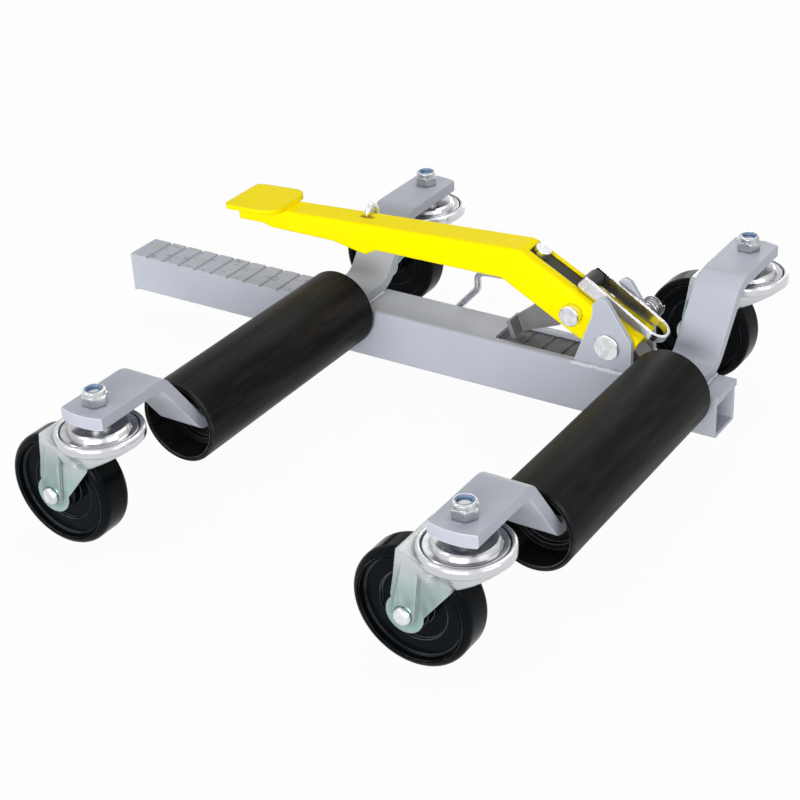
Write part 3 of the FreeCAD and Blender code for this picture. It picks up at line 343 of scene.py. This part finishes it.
# Spots of grease: tint, scale of the noise, level of the noise where they begin
GREASE = (
    (colour(0.40, 0.40, 0.22), 70.0, 0.60),
    (colour(0.17, 0.28, 0.30), 85.0, 0.60),
    (colour(0.08, 0.085, 0.09), 130.0, 0.62),
)
# The bright and edge colours are painted highlights along edges, partly edge wear.
FINISHES = (
    ("frame_paint", powder_coat, dict(
        base=colour(0.45, 0.473, 0.54), deep=colour(0.425, 0.447, 0.515),
        bright=colour(0.78, 0.79, 0.83), rough=0.42)),
    ("bar_paint", scuffed_coat, dict(
        base=colour(0.46, 0.483, 0.55), deep=colour(0.43, 0.452, 0.515),
        bright=colour(0.60, 0.61, 0.64), bare=colour(0.36, 0.36, 0.37),
        steel=colour(0.10, 0.10, 0.104), worn_steel=colour(0.18, 0.18, 0.185), grease=GREASE)),
    ("pedal_paint", gloss_paint, dict(
        base=colour(1.0, 0.82, 0.0), deep=colour(0.99, 0.80, 0.0),
        bright=colour(1.0, 0.90, 0.06), rough=0.40)),
    ("roller_paint", black_gloss, dict(
        base=colour(0.0055, 0.0055, 0.006), sheen_smear_tint=colour(0.024, 0.021, 0.022),
        edge=colour(0.12, 0.12, 0.125), rough=0.38, stretch=(3.0, 0.35, 3.0), level=0.05)),
    ("wheel_plastic", black_gloss, dict(
        base=colour(0.002, 0.003, 0.004), sheen_smear_tint=colour(0.004, 0.006, 0.008),
        edge=colour(0.12, 0.125, 0.13), rough=0.18, stretch=(1.0, 1.0, 1.0), level=0.04)),
    ("zinc_plate", zinc_plate, dict(
        base=colour(0.80, 0.815, 0.83), shade=colour(0.58, 0.59, 0.61),
        rough=0.26, grain=420.0, mottle=150.0, dents=0.16)),
    ("fork_zinc", pressed_zinc, dict(
        silver=colour(0.62, 0.63, 0.655), green=colour(0.36, 0.53, 0.51),
        deep=colour(0.13, 0.20, 0.19), bright=colour(0.86, 0.88, 0.88), rough=0.22)),
    ("dark_steel", dark_steel, dict(
        base=colour(0.21, 0.21, 0.215), worn=colour(0.28, 0.275, 0.27),
        edge=colour(0.45, 0.45, 0.45), rough=0.42)),
    ("black_oxide", dark_steel, dict(
        base=colour(0.024, 0.024, 0.026), worn=colour(0.05, 0.049, 0.048),
        edge=colour(0.16, 0.16, 0.16), rough=0.44)),
    ("axle_steel", zinc_plate, dict(
        base=colour(0.45, 0.45, 0.46), shade=colour(0.34, 0.34, 0.34),
        rough=0.35, grain=500.0, mottle=60.0, dents=0.12)),
    ("spring_steel", zinc_plate, dict(
        base=colour(0.40, 0.40, 0.41), shade=colour(0.05, 0.05, 0.052),
        rough=0.18, grain=700.0, mottle=60.0, dents=0.06)),
    ("ring_nylon", nylon, dict(
        base=colour(0.15, 0.26, 0.43), deep=colour(0.24, 0.35, 0.50), rough=0.44)),
)
finishes = {slot: make(slot, **values) for slot, make, values in FINISHES}
# The bead's paint is lighter than the frame's as a painted highlight, and its creases are painted shade.
bead_paint = weld_coat("bead_paint", base=colour(0.63, 0.65, 0.70),
                       crease_shade=colour(0.22, 0.23, 0.25), rough=0.30)

# Two smoother platings, for the nodes whose names end in these words

SMOOTH = dict(rough=0.2, grain=420.0, mottle=30.0, dents=0.03)
smooth_zinc = zinc_plate("smooth_zinc", base=colour(0.82, 0.82, 0.84),
                         shade=colour(0.60, 0.595, 0.63), **SMOOTH)
caster_zinc = zinc_plate("caster_zinc", base=colour(0.67, 0.675, 0.69),
                         shade=colour(0.40, 0.40, 0.42), **SMOOTH)
platings = (
    (("hub_bush", "release_yoke", "lock_hook", "pedal_clip"), smooth_zinc),
    (("stems", "stem_nuts", "race_caps"), caster_zinc),
)
for part in frame["record"]["subparts"]:
    finish = finishes[part["material_slot"]]
    for endings, plating in platings:
        if part["node"].endswith(endings):
            finish = plating
    for slot in frame["nodes"][part["node"]].material_slots:
        slot.material = finish


# Weld beads where the ears and the rear arms meet the bars, with lengths in metres

BEAD_SIDES = 12
BEAD_STEP = 0.0007
FEWEST_RINGS = 8
FLATNESS = 0.8
END_SIZE = 0.35
END_GROWTH = 9.0
EAR_BEAD = 0.0031
EAR_INSET = 0.0003
EAR_DROP = 0.0004
EAR_LEAD = 0.003
EAR_STOP = 0.001
FOOT_BEAD = 0.002
FOOT_GAP = 0.0004
FOOT_LIFT = 0.0006
FOOT_START = 0.003
FOOT_END = 0.041

# Waves along a bead: height as a share of its radius, turn for each ring, start
RIPPLE = ((0.08, 1.05, 0.0), (0.06, 0.23, 1.7))
SWAY = ((0.16, 0.31, 0.6), (0.10, 0.113, 0.0))


def waves(ring, parts):
    """The sum of a bead's waves at one ring."""
    return sum(height * math.sin(ring * turn + start) for height, turn, start in parts)


def weld(name, body, start, end, radius):
    """A rippled bead along a straight joint, thinner at its ends."""
    start = Vector(start)
    run = Vector(end) - start
    ahead = run.normalized()
    aside = ahead.cross(Vector((0, 0, 1))).normalized()
    lift = aside.cross(ahead)
    rings = max(FEWEST_RINGS, round(run.length / BEAD_STEP))
    points = []
    for i in range(rings + 1):
        along = i / rings
        taper = min(1.0, END_SIZE + END_GROWTH * min(along, 1.0 - along))
        reach = radius * taper * (1.0 + waves(i, RIPPLE))
        middle = start + run * along + aside * (radius * waves(i, SWAY))
        for k in range(BEAD_SIDES):
            turn = 2 * math.pi * k / BEAD_SIDES
            across = aside * (reach * math.cos(turn))
            points.append(middle + across + lift * (FLATNESS * reach * math.sin(turn)))
    faces = []
    for i in range(rings):
        here = i * BEAD_SIDES
        after = here + BEAD_SIDES
        for k in range(BEAD_SIDES):
            beside = (k + 1) % BEAD_SIDES
            faces.append((here + k, here + beside, after + beside, after + k))
    faces.append(tuple(range(BEAD_SIDES))[::-1])
    faces.append(tuple(rings * BEAD_SIDES + k for k in range(BEAD_SIDES)))
    mesh = bpy.data.meshes.new(name)
    mesh.from_pydata([tuple(p) for p in points], [], faces)
    mesh.update()
    mesh.shade_smooth()
    mesh.materials.append(bead_paint)
    bead = bpy.data.objects.new(name, mesh)
    scene.collection.objects.link(bead)
    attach(bead, body)


def weld_ear(name, node, outer):
    """A bead along the foot of an ear's outer face."""
    low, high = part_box(node)
    y = low[1] + EAR_INSET if outer < 0 else high[1] - EAR_INSET
    z = low[2] - EAR_DROP
    weld(name, "frame", (low[0] - EAR_LEAD, y, z), (high[0] - EAR_STOP, y, z), EAR_BEAD)


def weld_foot(name, node, body, carrier):
    """Beads along both sides of a rear arm's foot."""
    low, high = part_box(node)
    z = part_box(carrier)[1][2] + FOOT_LIFT
    for side, x in (("near", low[0] - FOOT_GAP), ("far", high[0] + FOOT_GAP)):
        start = (x, low[1] + FOOT_START, z)
        end = (x, low[1] + FOOT_END, z)
        weld(name + "_" + side, body, start, end, FOOT_BEAD)


weld_ear("weld_ear_front", "ear_front", -1)
weld_ear("weld_ear_rear", "ear_rear", 1)
weld_foot("weld_foot_left", "left_rear_arm", "frame", "outer_tube")
weld_foot("weld_foot_right", "right_rear_arm", "slider", "rack_plate")


# Camera at the photograph's viewing angle

eye = Vector((0.843085, -1.14849, 0.829528))
right = Vector((0.8415, 0.5382, -0.0471))
back = Vector((0.4887, -0.7212, 0.4909)).normalized()
up = back.cross(right).normalized()
right = up.cross(back).normalized()
camera_data = bpy.data.cameras.new("camera")
camera_data.sensor_width = 36.0
camera_data.lens = 81.363
camera = bpy.data.objects.new("camera", camera_data)
camera.matrix_world = Matrix.Translation(eye) @ Matrix((right, up, back)).transposed().to_4x4()
scene.collection.objects.link(camera)
scene.camera = camera


# Floor, background and lights

FLOOR_REACH = 12.0
FLOOR_GLOW = 0.95
SKY_LIGHT = 0.32
WHITE = colour(1, 1, 1)
PART_MIDDLE = (0.0, 0.0, 0.08)


def lamp(name, position, target, size, power):
    """A rectangular lamp that faces its target."""
    data = bpy.data.lights.new(name, "AREA")
    data.shape = "RECTANGLE"
    data.size, data.size_y = size
    data.energy = power
    made = bpy.data.objects.new(name, data)
    made.location = position
    aim = Vector(target) - Vector(position)
    made.rotation_euler = aim.to_track_quat("-Z", "Y").to_euler()
    scene.collection.objects.link(made)


def background_share(tree):
    """One for rays that should see the plain white background."""
    path = tree.nodes.new("ShaderNodeLightPath")
    share = path.outputs["Is Camera Ray"]
    for ray in ("Is Glossy Ray", "Is Transmission Ray"):
        share = maths(tree, "MAXIMUM", share, path.outputs[ray])
    return share


def make_floor():
    """A pale floor that is nearly white to the camera and keeps a faint shadow."""
    far = FLOOR_REACH
    mesh = bpy.data.meshes.new("floor")
    mesh.from_pydata([(-far, -far, 0), (far, -far, 0), (far, far, 0), (-far, far, 0)], [], [(0, 1, 2, 3)])
    floor = bpy.data.objects.new("floor", mesh)
    scene.collection.objects.link(floor)
    material, tree, surface = new_material("floor", Base_Color=colour(0.86, 0.86, 0.86),
                                           Specular_IOR_Level=0.0)
    uneven(tree, surface, scale=3.0, rough=0.92, smoother=0.02, rougher=0.02, detail=3.0)
    glow = add(tree, "ShaderNodeEmission", Color=WHITE, Strength=1.0)
    both = tree.nodes.new("ShaderNodeMixShader")
    put(tree, times(tree, background_share(tree), FLOOR_GLOW), both.inputs[0])
    put(tree, surface.outputs["BSDF"], both.inputs[1])
    put(tree, glow.outputs["Emission"], both.inputs[2])
    put(tree, both.outputs["Shader"], tree.nodes["Material Output"].inputs["Surface"])
    mesh.materials.append(material)


def make_world():
    """A white background that lights the part only softly."""
    world = bpy.data.worlds.new("studio")
    scene.world = world
    world.use_nodes = True
    tree = world.node_tree
    sky = tree.nodes["Background"]
    sky.inputs["Color"].default_value = WHITE
    strength = spread(tree, background_share(tree), 0.0, 1.0, to_low=SKY_LIGHT, to_high=1.0)
    put(tree, strength, sky.inputs["Strength"])


make_floor()
make_world()
lamp("key", position=(1.2, -5.8, 1.3), target=PART_MIDDLE, size=(4.4, 2.2), power=322.0)
lamp("top", position=(0.0, 0.9, 1.6), target=(0.05, 0.1, 0.08), size=(1.2, 0.8), power=8.5)
lamp("strip", position=(-1.4, -1.3, 2.0), target=PART_MIDDLE, size=(0.4, 1.6), power=8.0)
lamp("side", position=(2.4, -0.4, 1.1), target=(0.1, 0.0, 0.08), size=(1.6, 1.2), power=10.0)
lamp("back", position=(-0.6, 3.2, 0.5), target=PART_MIDDLE, size=(2.0, 0.8), power=26.0)

scene.view_settings.view_transform = "Standard"
